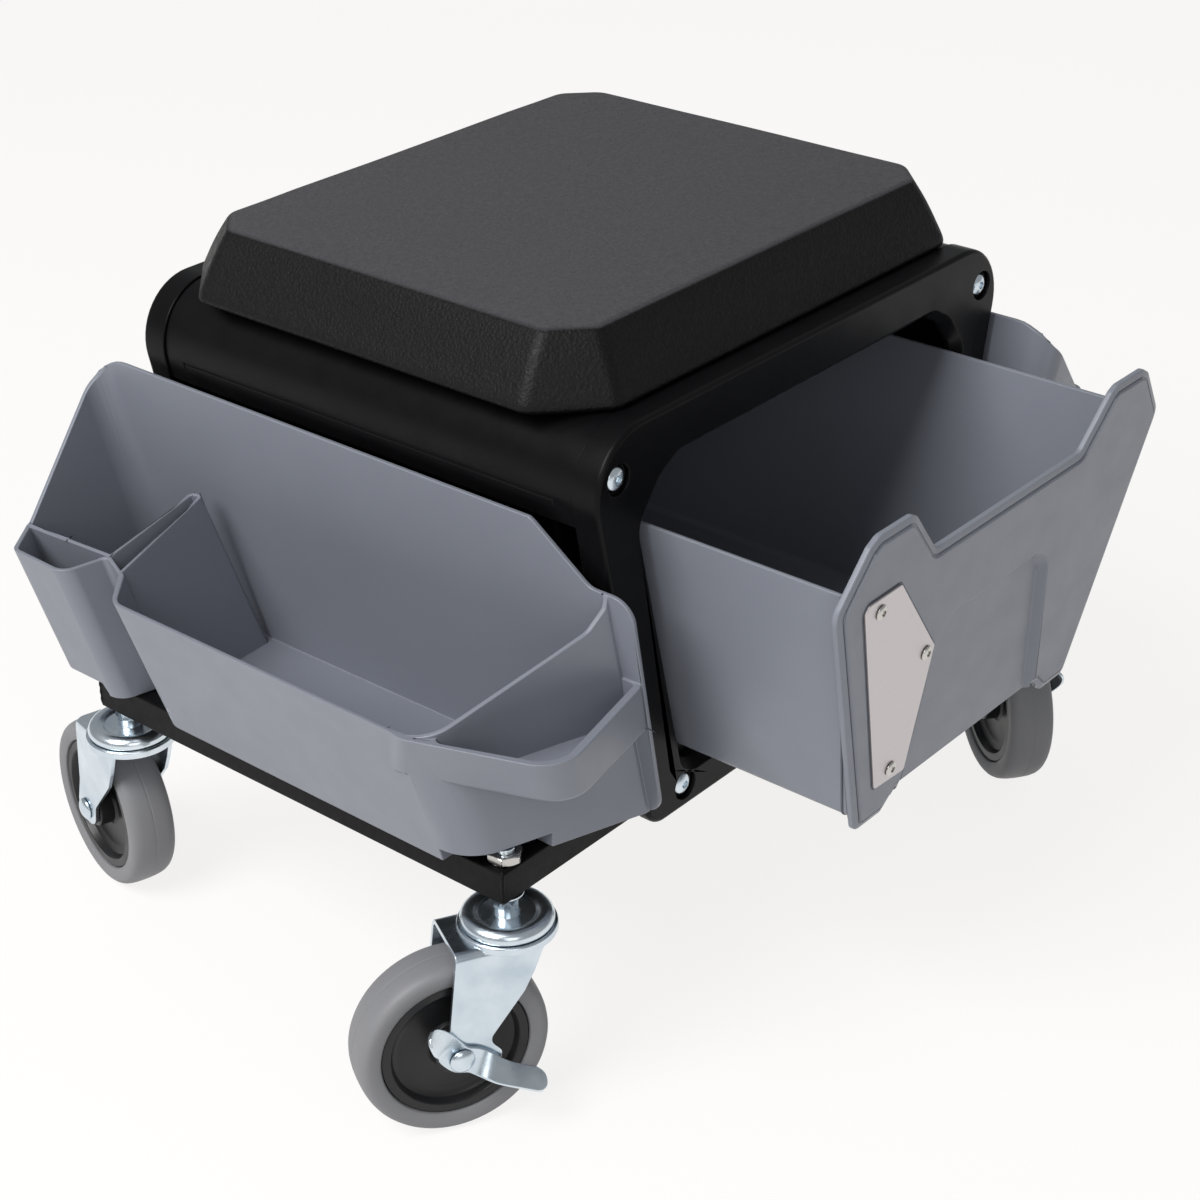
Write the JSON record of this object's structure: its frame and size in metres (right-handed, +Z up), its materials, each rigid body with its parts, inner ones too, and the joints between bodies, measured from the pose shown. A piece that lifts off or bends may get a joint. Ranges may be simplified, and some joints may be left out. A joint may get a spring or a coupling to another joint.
{
  "type": "creeper seat",
  "caption": "Rolling work seat with a padded top, a drawer that slides out at the front, hanging side trays and swivel casters, the front ones with brake levers.",
  "frame": {"origin": "on the floor, under the middle of the box round the part as it stands, with the drawer partly open", "axes": "+Z up, the drawer slides out towards -Y, the trays hang on -X and +X"},
  "size_m": [0.5996, 0.4998, 0.393],
  "materials": {
    "frame_paint": "satin",
    "body_plastic": "satin",
    "seat_skin": "matte",
    "board": "matte",
    "grey_plastic": "satin",
    "zinc": "gloss",
    "nickel": "gloss",
    "badge": "satin",
    "wheel_core": "satin",
    "tyre": "matte"
  },
  "bodies": {
    "chassis": {"base_frame": "frame_paint", "front_panel": "body_plastic", "rear_panel": "body_plastic", "top_cover": "body_plastic", "side_panel_left": "body_plastic", "side_panel_right": "body_plastic", "seat_cushion": "seat_skin", "seat_board": "board", "tray_left": "grey_plastic", "tray_right": "grey_plastic", "drawer_runner_left": "zinc", "drawer_runner_right": "zinc", "front_panel_screw_upper_left": "zinc", "front_panel_screw_upper_right": "zinc", "front_panel_screw_lower_left": "zinc", "front_panel_screw_lower_right": "zinc", "rear_panel_screw_upper_left": "zinc", "rear_panel_screw_upper_right": "zinc", "rear_panel_screw_lower_left": "zinc", "rear_panel_screw_lower_right": "zinc", "seat_bolt_front_left": "zinc", "seat_bolt_front_right": "zinc", "seat_bolt_rear_left": "zinc", "seat_bolt_rear_right": "zinc", "front_left_stem": "zinc", "front_left_stem_nut": "nickel", "front_right_stem": "zinc", "front_right_stem_nut": "nickel", "rear_left_stem": "zinc", "rear_left_stem_nut": "nickel", "rear_right_stem": "zinc", "rear_right_stem_nut": "nickel"},
    "drawer": {"drawer_bin": "grey_plastic", "badge_plate": "badge", "badge_screw_top": "nickel", "badge_screw_middle": "nickel", "badge_screw_bottom": "nickel"},
    "front_left_fork_body": {"front_left_fork": "zinc", "front_left_axle_bolt": "zinc", "front_left_axle_nut": "zinc"},
    "front_left_wheel": {"front_left_wheel_core": "wheel_core", "front_left_tyre": "tyre"},
    "front_left_lever": {"front_left_brake_lever": "zinc"},
    "front_right_fork_body": {"front_right_fork": "zinc", "front_right_axle_bolt": "zinc", "front_right_axle_nut": "zinc"},
    "front_right_wheel": {"front_right_wheel_core": "wheel_core", "front_right_tyre": "tyre"},
    "front_right_lever": {"front_right_brake_lever": "zinc"},
    "rear_left_fork_body": {"rear_left_fork": "zinc", "rear_left_axle_bolt": "zinc", "rear_left_axle_nut": "zinc"},
    "rear_left_wheel": {"rear_left_wheel_core": "wheel_core", "rear_left_tyre": "tyre"},
    "rear_right_fork_body": {"rear_right_fork": "zinc", "rear_right_axle_bolt": "zinc", "rear_right_axle_nut": "zinc"},
    "rear_right_wheel": {"rear_right_wheel_core": "wheel_core", "rear_right_tyre": "tyre"}
  },
  "joints": [
    {"name": "drawer_slide", "type": "slide", "parent": "chassis", "child": "drawer", "axis": [0, -1, 0], "range_m": [-0.097, 0.1]},
    {"name": "front_left_swivel", "type": "hinge", "parent": "chassis", "child": "front_left_fork_body", "pos_m": [-0.2225, -0.11111, 0.11], "axis": [0, 0, 1], "continuous": true},
    {"name": "front_left_roll", "type": "hinge", "parent": "front_left_fork_body", "child": "front_left_wheel", "pos_m": [-0.25124, -0.09551, 0.05], "axis": [-0.4772, -0.8788, 0], "continuous": true},
    {"name": "front_left_brake", "type": "hinge", "parent": "front_left_fork_body", "child": "front_left_lever", "pos_m": [-0.25124, -0.09551, 0.05], "axis": [0.4772, 0.8788, 0], "range_deg": [0, 20]},
    {"name": "front_right_swivel", "type": "hinge", "parent": "chassis", "child": "front_right_fork_body", "pos_m": [0.2225, -0.11111, 0.11], "axis": [0, 0, 1], "continuous": true},
    {"name": "front_right_roll", "type": "hinge", "parent": "front_right_fork_body", "child": "front_right_wheel", "pos_m": [0.20273, -0.13715, 0.05], "axis": [0.7965, -0.6046, 0], "continuous": true},
    {"name": "front_right_brake", "type": "hinge", "parent": "front_right_fork_body", "child": "front_right_lever", "pos_m": [0.20273, -0.13715, 0.05], "axis": [-0.7965, 0.6046, 0], "range_deg": [0, 20]},
    {"name": "rear_left_swivel", "type": "hinge", "parent": "chassis", "child": "rear_left_fork_body", "pos_m": [-0.2225, 0.16789, 0.11], "axis": [0, 0, 1], "continuous": true},
    {"name": "rear_left_roll", "type": "hinge", "parent": "rear_left_fork_body", "child": "rear_left_wheel", "pos_m": [-0.21459, 0.19962, 0.05], "axis": [-0.9703, 0.2419, 0], "continuous": true},
    {"name": "rear_right_swivel", "type": "hinge", "parent": "chassis", "child": "rear_right_fork_body", "pos_m": [0.2225, 0.16789, 0.11], "axis": [0, 0, 1], "continuous": true},
    {"name": "rear_right_roll", "type": "hinge", "parent": "rear_right_fork_body", "child": "rear_right_wheel", "pos_m": [0.25124, 0.18349, 0.05], "axis": [-0.4772, 0.8788, 0], "continuous": true}
  ]
}
